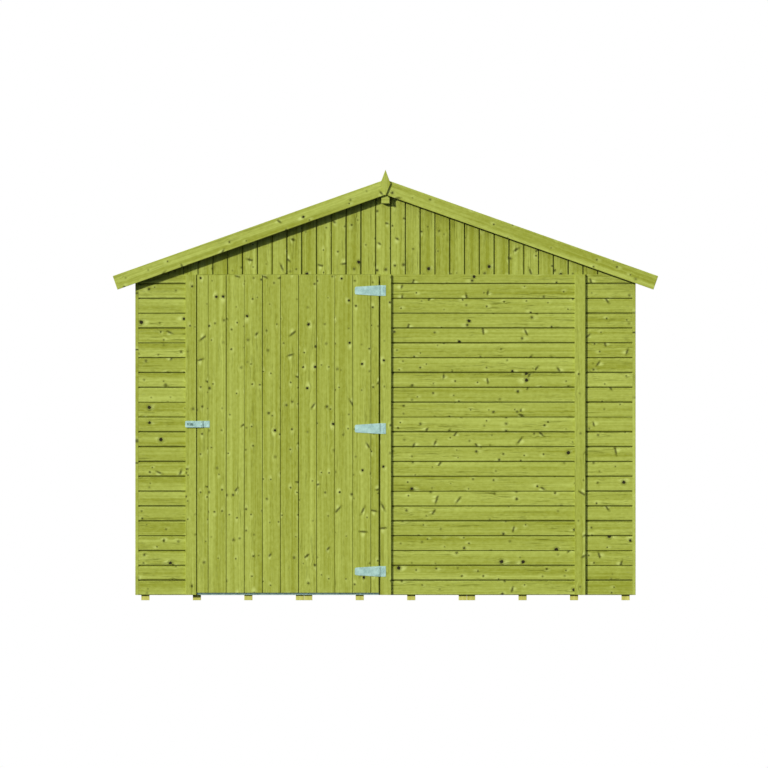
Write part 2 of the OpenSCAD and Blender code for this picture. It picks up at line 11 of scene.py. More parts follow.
import bmesh
import bpy
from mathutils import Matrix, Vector


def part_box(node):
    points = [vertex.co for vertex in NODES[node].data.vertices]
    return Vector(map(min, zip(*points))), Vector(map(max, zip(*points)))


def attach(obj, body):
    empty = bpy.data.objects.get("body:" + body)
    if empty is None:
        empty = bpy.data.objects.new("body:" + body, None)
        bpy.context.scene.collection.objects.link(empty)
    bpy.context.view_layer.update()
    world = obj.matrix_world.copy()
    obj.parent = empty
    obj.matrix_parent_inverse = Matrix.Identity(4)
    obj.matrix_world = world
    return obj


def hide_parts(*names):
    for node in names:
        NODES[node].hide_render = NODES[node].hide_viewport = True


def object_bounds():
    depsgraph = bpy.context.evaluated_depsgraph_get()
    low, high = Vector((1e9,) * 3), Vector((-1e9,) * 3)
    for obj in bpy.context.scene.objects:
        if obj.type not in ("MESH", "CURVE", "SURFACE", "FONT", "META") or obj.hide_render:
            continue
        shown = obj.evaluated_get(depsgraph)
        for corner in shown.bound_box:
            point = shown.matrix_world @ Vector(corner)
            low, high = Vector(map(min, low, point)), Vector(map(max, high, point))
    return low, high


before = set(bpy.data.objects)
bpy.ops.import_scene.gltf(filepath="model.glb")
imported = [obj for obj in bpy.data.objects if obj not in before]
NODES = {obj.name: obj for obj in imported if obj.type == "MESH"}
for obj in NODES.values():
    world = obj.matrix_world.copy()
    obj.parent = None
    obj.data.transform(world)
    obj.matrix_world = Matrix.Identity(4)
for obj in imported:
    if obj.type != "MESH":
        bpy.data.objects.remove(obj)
cad_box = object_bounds()
low, high = cad_box
print("CAD box, metres:", [round(high[i] - low[i], 4) for i in range(3)])

# %% [markdown]
# ## Camera
# The front is looked at square on, without perspective, so an orthographic camera is the right one. It
# stands far out in front and looks along +Y. The view is wider than the roof and leaves white on all sides.

# %% Camera
VIEW_WIDTH = 4.685
VIEW_CENTRE_X = -0.009
VIEW_CENTRE_Z = 1.319
CAMERA_DISTANCE = 12.0

camera_data = bpy.data.cameras.new("camera")
camera_data.type = "ORTHO"
camera_data.ortho_scale = VIEW_WIDTH
camera = bpy.data.objects.new("camera", camera_data)
camera.location = (VIEW_CENTRE_X, -CAMERA_DISTANCE, VIEW_CENTRE_Z)
camera.rotation_euler = (math.radians(90), 0, 0)
bpy.context.scene.collection.objects.link(camera)
bpy.context.scene.camera = camera
bpy.context.scene.view_settings.view_transform = "Standard"
print("Camera at", [round(x, 3) for x in camera.location])

# %% [markdown]
# ## Shader maths as Python
# A material is easier to read as a formula than as a list of links. `Shade` wraps one socket of a node
# tree. Arithmetic on it adds Math nodes, and the reflected forms let a plain number stand on the left.
# `Finish` owns the tree. Its method `node` makes any other node: the settings are set first, because some
# of them change which sockets there are, and the socket values or links come after.


# %% Sockets that can be added and multiplied
class Shade:
    """One output socket. Arithmetic on it adds Math nodes to the same tree."""

    def __init__(self, finish, socket):
        self.finish = finish
        self.socket = socket

    def math(self, operation, *values):
        return self.finish.node("ShaderNodeMath", {"operation": operation}, dict(enumerate(values)))

    def __add__(self, other):
        return self.math("ADD", self, other)

    def __radd__(self, other):
        return self.math("ADD", other, self)

    def __sub__(self, other):
        return self.math("SUBTRACT", self, other)

    def __rsub__(self, other):
        return self.math("SUBTRACT", other, self)

    def __mul__(self, other):
        return self.math("MULTIPLY", self, other)

    def __rmul__(self, other):
        return self.math("MULTIPLY", other, self)

    def __truediv__(self, other):
        return self.math("DIVIDE", self, other)

    def __rtruediv__(self, other):
        return self.math("DIVIDE", other, self)

    def __pow__(self, other):
        return self.math("POWER", self, other)

    def __gt__(self, other):
        return self.math("GREATER_THAN", self, other)

    def frac(self):
        return self.math("FRACT", self)

    def sin(self):
        return self.math("SINE", self)

    def cos(self):
        return self.math("COSINE", self)

    def least(self, other):
        return self.math("MINIMUM", self, other)

    def most(self, other):
        return self.math("MAXIMUM", self, other)

    def step(self, start, end):
        """0 before start, 1 after end, and a soft slope between. start may be the larger."""
        return self.finish.node(
            "ShaderNodeMapRange",
            {"interpolation_type": "SMOOTHSTEP", "clamp": True},
            {"Value": self, "From Min": start, "From Max": end, "To Min": 0.0, "To Max": 1.0},
        )


class Finish:
    """A material, and the tree that it is written in."""

    def __init__(self, name):
        self.material = bpy.data.materials.new(name)
        self.material.use_nodes = True
        self.tree = self.material.node_tree
        self.tree.nodes.clear()

    def node(self, kind, settings=None, sockets=None, out=0):
        """A new node: its settings first, then its sockets' values or links. Gives one of its outputs."""
        made = self.tree.nodes.new(kind)
        for key, value in (settings or {}).items():
            setattr(made, key, value)
        for key, value in (sockets or {}).items():
            if isinstance(value, Shade):
                self.tree.links.new(value.socket, made.inputs[key])
            else:
                made.inputs[key].default_value = value
        return Shade(self, made.outputs[out]) if made.outputs else made

    def outputs(self, shade, *names):
        """Other outputs of the node that shade comes from."""
        return [Shade(self, shade.socket.node.outputs[name]) for name in names]

    def attribute(self, name):
        """The three numbers that each corner of a mesh carries under this name."""
        return self.split(self.node("ShaderNodeAttribute", {"attribute_name": name}, out="Vector"))

    def split(self, vector):
        return self.outputs(self.node("ShaderNodeSeparateXYZ", None, {0: vector}), "X", "Y", "Z")

    def vector(self, x, y, z=0.0):
        return self.node("ShaderNodeCombineXYZ", None, {0: x, 1: y, 2: z})

    def place(self):
        """Where a point lies on its own object, in metres."""
        return self.node("ShaderNodeTexCoord", out="Object")

    def noise(self, vector, scale=1.0, detail=2.0, roughness=0.5):
        """Soft random patches, 0 to 1, as many to the unit as scale says."""
        return self.node(
            "ShaderNodeTexNoise",
            {"noise_dimensions": "3D"},
            {"Vector": vector, "Scale": scale, "Detail": detail, "Roughness": roughness},
        )

    def mix(self, factor, a, b):
        """Colour a where factor is 0, and b where it is 1."""
        return self.node("ShaderNodeMix", {"data_type": "RGBA"}, {0: factor, 6: a, 7: b}, out=2)

    def bump(self, height, strength, distance):
        """Relief, as the normals that it gives. distance is in metres."""
        return self.node(
            "ShaderNodeBump", None, {"Strength": strength, "Distance": distance, "Height": height}
        )

    def surface(self, sockets):
        """Ends the tree with a Principled shader, and gives the material."""
        shader = self.node("ShaderNodeBsdfPrincipled", None, sockets)
        self.node("ShaderNodeOutputMaterial", None, {"Surface": shader})
        return self.material


def paint(red, green, blue):
    """A colour as it is seen, 0 to 255, turned into the linear light that a shader works with."""
    seen = [channel / 255 for channel in (red, green, blue)]
    return [c / 12.92 if c <= 0.04045 else ((c + 0.055) / 1.055) ** 2.4 for c in seen] + [1.0]


def shadowed(colour, share):
    """A colour with only a share of its light left."""
    return [c * share for c in colour[:3]] + [1.0]


print("Mid green of the treated timber, linear:", [round(c, 3) for c in paint(164, 175, 77)[:3]])

# %% [markdown]
# ## Treated softwood
# Pressure treatment leaves softwood yellow-green, with the growth rings, streaks and knots of the tree
# still showing. An image of wood would repeat and stretch, so the wood is worked out instead. Each board
# carries three attributes. `grain` holds the metres along, across and into the board. `board` holds its own
# random numbers. `joint` holds how much painted shade, with some dust, a place in a joint gets, how large
# the knots are and how calm the tone is.

# %% [markdown]
# ### Knots
# Knots are the feature points of a Voronoi texture. The cells are stretched along the board, but the
# distance is measured in metres, so the knots stay round. Each cell draws a lot: a few knots are dead and
# nearly black, more are small and live, and some were cut lengthwise and show as a spike across the board.
# Beside a knot the wood is painted paler on one side, as a painted highlight. What a knot does to the wood
# round it fades out towards the border of its cell, so no seam shows.

# %% Knots
KNOT_EVERY = 0.13
KNOT_ROW = 0.044
DEAD, LIVE, SPIKE = 0.052, 0.38, 0.08
DEAD_RADIUS, DEAD_MORE = 0.0072, 0.006
LIVE_RADIUS, LIVE_MORE = 0.0034, 0.004
SPIKE_RADIUS = 0.0048
MOST_LEAN = 2.4
RAGGED_SCALE = 150.0
HALO_OFF, HALO_WIDE = 0.003, 0.009
NEAR_WIDE = 0.012
SEAM_FADE = 0.16


def knots(wood, along, across, seed, knotty):
    """Core, rim, halo and nearness of the closest knot, and the distance across the board to it."""
    cell_x = along / KNOT_EVERY + seed * 31.0
    cell_y = across / KNOT_ROW + seed * 57.0
    layout = {"Vector": wood.vector(cell_x, cell_y), "Scale": 1.0, "Randomness": 0.9}
    kind = "ShaderNodeTexVoronoi"
    cells = wood.node(kind, {"voronoi_dimensions": "2D", "feature": "F1"}, layout)
    border = wood.node(kind, {"voronoi_dimensions": "2D", "feature": "DISTANCE_TO_EDGE"}, layout)
    inside = border.step(0.0, SEAM_FADE)
    lots, place = wood.outputs(cells, "Color", "Position")
    lot, size, turn = wood.split(lots)
    place_x, place_y, _ = wood.split(place)
    dx = (cell_x - place_x) * KNOT_EVERY
    dy = (cell_y - place_y) * KNOT_ROW

    # Which kind the knot is, and how far away its middle lies, measured the way that it leans
    dead = lot > (1.0 - DEAD)
    live = (lot > (1.0 - DEAD - LIVE)) - dead
    spike = 1.0 - (lot > SPIKE)
    lean = (turn - 0.5) * MOST_LEAN
    long_way = dy * lean.cos() + dx * lean.sin()
    short_way = dx * lean.cos() - dy * lean.sin()
    ragged = wood.noise(wood.vector(along * RAGGED_SCALE, across * RAGGED_SCALE, seed * 13.0))
    stretch = 1.0 + spike * (0.8 + size * 3.0)
    away = ((long_way / stretch) ** 2.0 + short_way ** 2.0) ** 0.5 * (0.5 + ragged)

    # The knot itself, and the dark rim round it
    radius = (size * DEAD_MORE + DEAD_RADIUS) * knotty * dead
    radius = radius + (size ** 2.0 * LIVE_MORE + LIVE_RADIUS) * live + SPIKE_RADIUS * spike
    core = away.step(radius * 1.2, radius * 0.8) * (dead + live * (0.2 + turn * 0.6) + spike * 0.55)
    rim = away.step(radius * 2.7, radius * 0.9) * (dead + live * (0.5 + turn * 0.5) + spike)

    # The painted highlight beside the knot, to a side of its own
    spin = (lot + size) * 37.0
    halo_x = dx * 0.6 - spin.cos() * (radius + HALO_OFF)
    halo_y = dy - spin.sin() * (radius + HALO_OFF)
    halo = ((halo_x ** 2.0 + halo_y ** 2.0) ** 0.5).step(radius * 2.0 + HALO_WIDE, radius * 0.3)
    halo = halo * (dead + spike + live * turn * 0.7) * inside
    near = ((dx ** 2.0 + dy ** 2.0) ** 0.5).step(radius * 5.0 + NEAR_WIDE, 0.0)
    return core, rim, halo, near * (dead + live + spike) * inside, dy


print("Knots to the square metre:", round((DEAD + LIVE + SPIKE) / (KNOT_EVERY * KNOT_ROW)))

# %% [markdown]
# ### Grain
# Growth rings are circles round a pith that lies a few centimetres behind the face and wanders along the
# board. That gives long arches on the face and arcs on a sawn end. The grain flows round each knot. Dark
# flames lie along it in loose groups, and slower noise makes one part of a board paler than the next.

# %% Timber finish
RING = 0.0052
PITH_SPREAD = 0.11
PITH_DEPTH, PITH_DEEPER = 0.018, 0.012
BROAD, STREAK, BLOTCH, FIBRE, LATE, TONE = 1.95, 2.1, 0.9, 0.6, 0.25, 0.28
PLAIN_WOOD, PALEST = 0.72, 1.3
# How much light the painted shade in a joint leaves
PAINTED_JOINT_SHADE = 0.3


def timber_finish(name, knot_highlight, pale, mid, dark, knot):
    """Treated wood in five colours: a painted highlight by the knots, then pale, mid and dark wood, and the
    knots.
    """
    wood = Finish(name)
    along, across, depth = wood.attribute("grain")
    seed, tone, pith = wood.attribute("board")
    joint, knotty, calm = wood.attribute("joint")
    core, rim, halo, near, from_knot = knots(wood, along, across, seed, knotty)

    def patches(way, per_metre, per_metre_across, number, detail=2.0, roughness=0.5):
        """Noise with so many patches to the metre. number keeps one noise apart from the next."""
        vector = wood.vector(along * per_metre, way * per_metre_across, seed * number)
        return wood.noise(vector, 1.0, detail, roughness)

    # Grain that wanders along the board and flows round the knots
    wander = wood.noise(wood.vector(along * 0.9, seed * 19.0), 1.0, 1.0) - 0.5
    ripple = patches(across, 7.0, 9.0, 7.0) - 0.5
    flow = across + wander * 0.014 + ripple * 0.004 - from_knot * near * 0.8

    # Growth rings round a pith behind the face, each with a line of dark late wood
    from_pith = flow + (pith - 0.5) * PITH_SPREAD
    behind = PITH_DEPTH - depth + pith * PITH_DEEPER
    ring = (((from_pith ** 2.0 + behind ** 2.0) ** 0.5) / RING).frac()
    late = ring.step(0.3, 0.93) * ring.step(1.0, 0.94)

    # Streaks, blotches, fibres, flames and plumes, each at its own size
    broad = patches(flow, 0.5, 17.0, 23.0, 1.0) - 0.5
    streak = patches(flow, 0.8, 56.0, 11.0, 3.0, 0.6) - 0.5
    blotch = patches(flow, 38.0, 60.0, 29.0) - 0.5
    fibre = wood.noise(wood.vector(along * 22.0, flow * 900.0, depth * 900.0)) - 0.5
    group = patches(flow, 2.4, 14.0, 41.0, 1.0).step(0.38, 0.6)
    flame = patches(flow, 16.0, 175.0, 37.0).step(0.57, 0.68)
    plume = patches(flow, 5.0, 100.0, 61.0).step(0.58, 0.7)

    light = (broad * BROAD + (tone - 0.5) * TONE) * (1.0 - calm)
    light = light + streak * STREAK + blotch * BLOTCH + fibre * FIBRE - late * LATE + PLAIN_WOOD
    colour = wood.mix(light.least(PALEST).most(0.0) / PALEST, mid, pale)
    # A painted highlight beside each knot
    colour = wood.mix(halo * 0.6, colour, knot_highlight)
    colour = wood.mix((flame * 0.5 + plume * 0.6) * group * knotty + rim * 0.6, colour, dark)
    colour = wood.mix(core, colour, knot)
    # Painted shade, with some dust, darkens the bevels, tongues and grooves of the joints
    colour = wood.mix(joint * 0.6, colour, shadowed(dark, PAINTED_JOINT_SHADE))

    # The soft early wood lies lower than the late wood, and a knot's rim cracks a little
    relief = late * 0.25 + fibre * 0.5 - core * 0.6 + streak * 0.2
    return wood.surface(
        {
            "Base Color": colour,
            "Roughness": 0.82 - late * 0.12,
            "Specular IOR Level": 0.2,
            "Normal": wood.bump(relief, 0.25, 0.0012),
        }
    )


# The first colour of each wood is the painted highlight beside its knots
treated = timber_finish(
    "treated_timber",
    paint(216, 227, 126), paint(185, 195, 90), paint(143, 149, 39), paint(97, 103, 16), paint(30, 27, 2),
)
floor_wood = timber_finish(
    "floor_timber",
    paint(228, 226, 140), paint(216, 213, 113), paint(186, 182, 76), paint(144, 138, 54), paint(66, 56, 22),
)
print("Timber nodes:", len(treated.node_tree.nodes))

# %% [markdown]
# ## Zinc plate
# Hinges and hasps like these are pressed from steel and plated with zinc. The plating is a dull silver
# with a faint blue-green cast that varies from place to place like a cloud. The face is rubbed a little in
# one direction. The small nails have tarnished, which their `joint` attribute says. Object coordinates are
# used, because they stay with a hinge when the door swings.

# %% Zinc finish
CLOUD_SCALE, SPANGLE_SCALE = 34.0, 160.0
RUB_FINE, RUB_ALONG = 2600.0, 90.0


def zinc_finish(name, pale, deep, dull):
    """Zinc between two colours, and a third where it has tarnished."""
    metal = Finish(name)
    place = metal.place()
    x, y, z = metal.split(place)
    cloud = metal.noise(place, CLOUD_SCALE, 3.0, 0.55)
    spangle = metal.noise(place, SPANGLE_SCALE)
    rub = metal.noise(metal.vector(x * RUB_ALONG, y * RUB_ALONG, z * RUB_FINE))
    tint = (cloud * 0.8 + spangle * 0.3 + rub * 0.16 - 0.1).step(0.25, 0.8)
    tarnish, _, _ = metal.attribute("joint")
    return metal.surface(
        {
            "Base Color": metal.mix(tarnish, metal.mix(tint, deep, pale), dull),
            "Metallic": 0.35,
            "Roughness": 0.36 + cloud * 0.2 + rub * 0.08,
            "Normal": metal.bump(rub * 0.6 + spangle * 0.7, 0.12, 0.0004),
        }
    )


zinc = zinc_finish("zinc_plate", paint(172, 204, 192), paint(132, 165, 155), paint(128, 134, 84))
print("Zinc nodes:", len(zinc.node_tree.nodes))

# %% [markdown]
# ## Roofing felt
# Shed felt is bitumen sheet with crushed green mineral pressed into its face. Close up it is a bed of
# grains, some pale and some nearly black, with bitumen showing between them. A fine Voronoi texture gives
# one value for each grain. Slow noise adds the weathering that any roof has, and the `joint` attribute says
# where bitumen has bled out of a lap.

# %% Felt finish
GRIT = 620.0
WEATHER_SCALE, WORN_SCALE = 2.3, 38.0


def felt_finish(name, pale, mid, dark):
    """Mineral felt: pale and mid grains, with dark bitumen between them."""
    sheet = Finish(name)
    place = sheet.place()
    grains = sheet.node(
        "ShaderNodeTexVoronoi", {"feature": "F1"}, {"Vector": place, "Scale": GRIT, "Randomness": 1.0}
    )
    distance, grain_colour = sheet.outputs(grains, "Distance", "Color")
    lot, height, _ = sheet.split(grain_colour)
    _, tone, _ = sheet.attribute("board")
    bleed, _, _ = sheet.attribute("joint")
    weather = sheet.noise(place, WEATHER_SCALE, 4.0, 0.6) + (tone - 0.5) * 0.2
    worn = sheet.noise(place, WORN_SCALE, 3.0, 0.6)
    colour = sheet.mix(lot, mid, pale)
    colour = sheet.mix(lot.step(0.34, 0.1), colour, dark)
    colour = sheet.mix(distance.step(0.45, 0.8) * 0.7, colour, dark)
    colour = sheet.mix((weather * 0.6 + worn * 0.5).step(0.5, 0.85) * 0.35, colour, dark)
    colour = sheet.mix((bleed * (0.4 + worn)).step(0.2, 0.6) * 0.85, colour, dark)
    bump = sheet.bump(height * 0.7 - distance + worn * 0.4, 0.6, 0.0009)
    return sheet.surface({"Base Color": colour, "Roughness": 0.86 + lot * 0.1, "Normal": bump})


felt = felt_finish("mineral_felt", paint(118, 134, 108), paint(84, 99, 76), paint(44, 52, 40))
print("Felt nodes:", len(felt.node_tree.nodes))

# %% [markdown]
# ## Lamps
# One sun stands on the left in front of the shed, at 45 degrees to the wall and 20 degrees up, so the barge
# boards throw their shade on the gable. A wide, soft light hangs high in front and fades under the eaves.
# Another lights the back and the right side. Area lamps would do too, but a sun needs no place of its own.

# %% Lamps
SUN_WAY = Vector((1.0, 1.0, -0.52))
SOFT_WAY = Vector((0.3, 1.0, -1.2))
BACK_WAY = Vector((-1.0, -0.8, -0.9))
SUN_STRENGTH, SUN_ANGLE = 3.4, 1.8
SOFT_STRENGTH, SOFT_ANGLE = 1.1, 70.0
BACK_STRENGTH, BACK_ANGLE = 3.0, 45.0


def add_sun(name, way, strength, angle):
    """A lamp far away that shines along way."""
    lamp = bpy.data.lights.new(name, "SUN")
    lamp.energy = strength
    lamp.angle = math.radians(angle)
    sun = bpy.data.objects.new(name, lamp)
    sun.rotation_euler = way.to_track_quat("-Z", "Y").to_euler()
    bpy.context.scene.collection.objects.link(sun)


add_sun("sun", SUN_WAY, SUN_STRENGTH, SUN_ANGLE)
add_sun("soft_light", SOFT_WAY, SOFT_STRENGTH, SOFT_ANGLE)
add_sun("back_light", BACK_WAY, BACK_STRENGTH, BACK_ANGLE)
print("Sun on the front:", round(SUN_STRENGTH / math.pi / SUN_WAY.length, 3))

# %% [markdown]
# ## Sky
# A weak blue sky fills the shadows. Camera, glossy and transmission rays see a plain white world instead,
# and every other ray meets the sky. So the background is white with no extra light on the shed.

# %% Sky
SKY_STRENGTH = 0.2
SKY_COLOUR = (0.12, 0.35, 1.0, 1.0)
WHITE = (1.0, 1.0, 1.0, 1.0)


class Sky(Finish):
    """The world's node tree, written in the same way as a material."""

    def __init__(self, name):
        self.world = bpy.data.worlds.new(name)
        self.world.use_nodes = True
        self.tree = self.world.node_tree
        self.tree.nodes.clear()


def seen_rays(finish):
    """1 for the rays that show a background: camera, glossy and transmission."""
    path = finish.node("ShaderNodeLightPath")
    camera_ray, glossy_ray, transmission_ray = finish.outputs(
        path, "Is Camera Ray", "Is Glossy Ray", "Is Transmission Ray"
    )
    return camera_ray.most(glossy_ray).most(transmission_ray)


sky = Sky("studio")
soft = sky.node("ShaderNodeBackground", None, {"Color": SKY_COLOUR, "Strength": SKY_STRENGTH})
white = sky.node("ShaderNodeBackground", None, {"Color": WHITE, "Strength": 1.0})
shown = sky.node("ShaderNodeMixShader", None, {0: seen_rays(sky), 1: soft, 2: white})
sky.node("ShaderNodeOutputWorld", None, {"Surface": shown})
bpy.context.scene.world = sky.world
print("Sky:", SKY_STRENGTH)

# %% [markdown]
# ## Ground
# The shed stands on a plain matt floor. It is pale to the camera and keeps the shed's shadow. To the rays
# that carry light back to the shed it is nearly black, or it would shine up under the eaves. A slight
# mottle keeps it from looking flat.

# %% Ground
FLOOR_SEEN = 0.55
FLOOR_GLOW = 0.34
FLOOR_BOUNCE = 0.05
FLOOR_REACH = 30.0
MOTTLE, MOTTLE_SCALE = 0.03, 3.0


def matt(finish, value):
    """A grey with a slight mottle and no gloss."""
    mottle = finish.noise(finish.place(), MOTTLE_SCALE, 3.0)
    colour = finish.mix(mottle, [value * (1 - MOTTLE)] * 3 + [1.0], [value * (1 + MOTTLE)] * 3 + [1.0])
    sockets = {"Base Color": colour, "Roughness": 1.0, "Specular IOR Level": 0.0}
    return finish.node("ShaderNodeBsdfPrincipled", None, sockets)


ground = Finish("ground")
glow = ground.node("ShaderNodeEmission", None, {"Color": WHITE, "Strength": FLOOR_GLOW})
bright = ground.node("ShaderNodeAddShader", None, {0: matt(ground, FLOOR_SEEN), 1: glow})
ground_shown = ground.node(
    "ShaderNodeMixShader", None, {0: seen_rays(ground), 1: matt(ground, FLOOR_BOUNCE), 2: bright}
)
ground.node("ShaderNodeOutputMaterial", None, {"Surface": ground_shown})

floor_mesh = bpy.data.meshes.new("floor")
corners = [(-1, -1), (1, -1), (1, 1), (-1, 1)]
floor_mesh.from_pydata([(x * FLOOR_REACH, y * FLOOR_REACH, 0.0) for x, y in corners], [], [(0, 1, 2, 3)])
floor_mesh.materials.append(ground.material)
floor = bpy.data.objects.new("floor", floor_mesh)
bpy.context.scene.collection.objects.link(floor)
print("Floor, metres:", [round(side, 1) for side in floor.dimensions[:2]])

# %% [markdown]
# ## Timber stock
# Every board and stick ends up in a `Stack`: one mesh for each wall or group of timbers. The stack also
# carries the three attributes that the timber finish reads, so each piece of wood has its own grain even
# where forty of them share one object.


# %% Stacks of timber
DICE = random.Random(1987)
TREATED = (treated, "treated_timber")
FLOORING = (floor_wood, "floor_timber")


def draw_board(knotty=0.6, calm=0.0, shade=0.0):
    """Numbers of one board: which wood it is, its tone and where its pith lies, all drawn at random.

    Then come how large its knots are, and how little its tone differs from the others'. shade lowers its
    tone, which paints shade on the gable boards under the roof's overhang.
    """
    return (DICE.random(), DICE.random() - shade, DICE.random(), knotty, calm)


def draw_phase():
    """Where a wave starts, in radians."""
    return DICE.random() * 6.28


class Stack:
    """Boards, sticks, sheets or nail heads gathered into one mesh."""

    def __init__(self):
        self.points, self.faces, self.grain, self.board, self.joint = [], [], [], [], []

    def add(self, points, faces, grain, board, joints=None):
        """Takes in one more solid. joints says how dark each of its corners is."""
        start = len(self.points)
        self.points += [tuple(p) for p in points]
        self.faces += [[start + i for i in face] for face in faces]
        self.grain += [tuple(g) for g in grain]
        self.board += [board[:3]] * len(points)
        self.joint += [(joint, *board[3:]) for joint in joints or [0.0] * len(points)]

    def make(self, name, body, finish, slot, *nodes):
        """Turns the stack into a piece that rides on a body, and replaces nodes where some are named."""
        mesh = bpy.data.meshes.new(name)
        mesh.from_pydata(self.points, [], self.faces)
        mesh.validate()
        for label, values in (("grain", self.grain), ("board", self.board), ("joint", self.joint)):
            layer = mesh.attributes.new(label, "FLOAT_VECTOR", "POINT")
            layer.data.foreach_set("vector", [c for value in values for c in value])
        mesh.materials.append(finish)
        piece = bpy.data.objects.new(name, mesh)
        bpy.context.scene.collection.objects.link(piece)
        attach(piece, body)
        if nodes:
            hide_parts(*nodes)


def bands(rows, count):
    """Faces between rows of count corners each, every row joined to the next all the way round."""
    return [
        [i * count + k, i * count + (k + 1) % count, (i + 1) * count + (k + 1) % count, (i + 1) * count + k]
        for i in range(rows - 1)
        for k in range(count)
    ]


def first_cap(count):
    """The face that closes the first row."""
    return list(range(count))[::-1]


def last_cap(rows, count):
    """The face that closes the last row."""
    return [(rows - 1) * count + k for k in range(count)]


print("Faces of a bar of four sides:", len(bands(2, 4) + [first_cap(4), last_cap(2, 4)]))

# %% [markdown]
# ## Parts of the model
# A node of the model can hold many separate solids: seven studs, twelve joists. Each timber needs its own
# grain, and the nails must find the studs. So a node's mesh is split here into its loose parts.

# %% Loose parts of a node
SAME_PLACE = 1e-5
SAME_FACE = 0.01
TALL = 1.0


def loose_parts(node):
    """The separate solids of a CAD node: for each, its corners and its faces."""
    solid = bmesh.new()
    solid.from_mesh(NODES[node].data)
    bmesh.ops.remove_doubles(solid, verts=solid.verts, dist=SAME_PLACE)
    bmesh.ops.dissolve_limit(solid, angle_limit=SAME_FACE, verts=solid.verts, edges=solid.edges)
    solid.verts.ensure_lookup_table()
    done, parts = set(), []
    for first in solid.verts:
        if first.index in done:
            continue
        group, waiting = [], [first]
        done.add(first.index)
        while waiting:
            corner = waiting.pop()
            group.append(corner)
            for edge in corner.link_edges:
                other = edge.other_vert(corner)
                if other.index not in done:
                    done.add(other.index)
                    waiting.append(other)
        group.sort(key=lambda v: v.index)
        number = {v.index: i for i, v in enumerate(group)}
        faces = sorted({f.index: f for v in group for f in v.link_faces}.items())
        parts.append(([v.co.copy() for v in group], [[number[v.index] for v in f.verts] for _, f in faces]))
    solid.free()
    return parts


def span(corners):
    """Lowest and highest corner of a part."""
    lows = Vector([min(c[i] for c in corners) for i in range(3)])
    highs = Vector([max(c[i] for c in corners) for i in range(3)])
    return lows, highs


def part_spans(*nodes):
    """Lowest and highest corner of each part of some nodes."""
    return [span(corners) for node in nodes for corners, _ in loose_parts(node)]


UPRIGHTS = part_spans("front_studs", "back_studs", "side_studs", "door_jambs")
STUDS = [(lows + highs) / 2 for lows, highs in UPRIGHTS if highs.z - lows.z > TALL]
print("Upright timbers behind the walls:", len(STUDS))

# %% [markdown]
# ## Heads of nails and screws
# Boards are nailed to every stud they cross, and the hinges are held by cross-head screws. A nail's head is
# a low disc. The screw's is a low dome with a real recess: a ring of twelve points round a plus sign of
# twelve points, so the two join face by face, and the plus is sunk. Sizes are a head's radius and height.

# %% Nails and screws
NAIL = (0.0014, 0.00025)
CLOUT = (0.0046, 0.0006)
SCREW = (0.0042, 0.0009)
SMALL_SCREW = (0.0034, 0.0008)
NAIL_SIDES, SCREW_SIDES = 8, 12
SHED_METAL, DOOR_METAL = Stack(), Stack()


def circle(radius, count, start=0.0):
    """Points on a circle, the first at start degrees."""
    turns = [math.radians(start + 360 * k / count) for k in range(count)]
    return [(radius * math.cos(turn), radius * math.sin(turn)) for turn in turns]


def rings(stack, centre, axis, outlines, dull=0.0):
    """Adds a pile of closed outlines, joined face by face, with the last one filled."""
    across = axis.orthogonal().normalized()
    up = axis.cross(across)
    points, count = [], len(outlines[0][0])
    for outline, height in outlines:
        points += [centre + across * x + up * y + axis * height for x, y in outline]
    faces = bands(len(outlines), count) + [last_cap(len(outlines), count)]
    board = (0.0, 0.5, 0.0, 0.0, 0.0)
    stack.add(points, faces, [(0.0, 0.0, 0.0)] * len(points), board, [dull] * len(points))


def nail(stack, centre, axis, size=NAIL):
    """A low disc with a worn edge, tarnished."""
    radius, height = size
    side, top = circle(radius, NAIL_SIDES), circle(0.8 * radius, NAIL_SIDES)
    rings(stack, centre, axis, [(side, 0.0), (side, 0.6 * height), (top, height)], dull=1.0)


def screw(stack, centre, axis, size=SCREW):
    """A low dome with a sunk plus, still bright."""
    radius, height = size
    half, arm = 0.13 * radius, 0.55 * radius
    plus = []
    for k in range(4):
        turn = math.radians(90 * k)
        for x, y in ((arm, -half), (arm, half), (half, half)):
            plus.append((x * math.cos(turn) - y * math.sin(turn), x * math.sin(turn) + y * math.cos(turn)))
    dome = [(share * radius, up * height) for share, up in ((1.0, 0.0), (0.92, 0.5), (0.66, 1.0))]
    outlines = [(circle(wide, SCREW_SIDES, -15), up) for wide, up in dome]
    rings(stack, centre, axis, outlines + [(plus, height), (plus, 0.1 * height)])


print("Heads, millimetres across:", [round(2000 * radius, 1) for radius, _ in (NAIL, CLOUT, SCREW)])

# %% [markdown]
# ## Tongued and grooved boards
# A matchboard has a tongue on one edge, a groove on the other, and a small chamfer along both edges of its
# face, so two boards meet in a V. A plain slab with lines painted on it would show no tongue in the V and
# no stepped section at its ends. So the real section is drawn here, and swept along each board later.

# %% Section of a board
THICK = 0.012
TONGUE, TONGUE_ROOM = 0.003, 0.001
TONGUE_TOP, TONGUE_UNDER = 0.74, 0.88
GROOVE_TOP, GROOVE_UNDER = 0.71, 0.91
# How much painted shade a bevel gets; tongue and groove faces get all of it
BEVEL_SHADE = 0.6


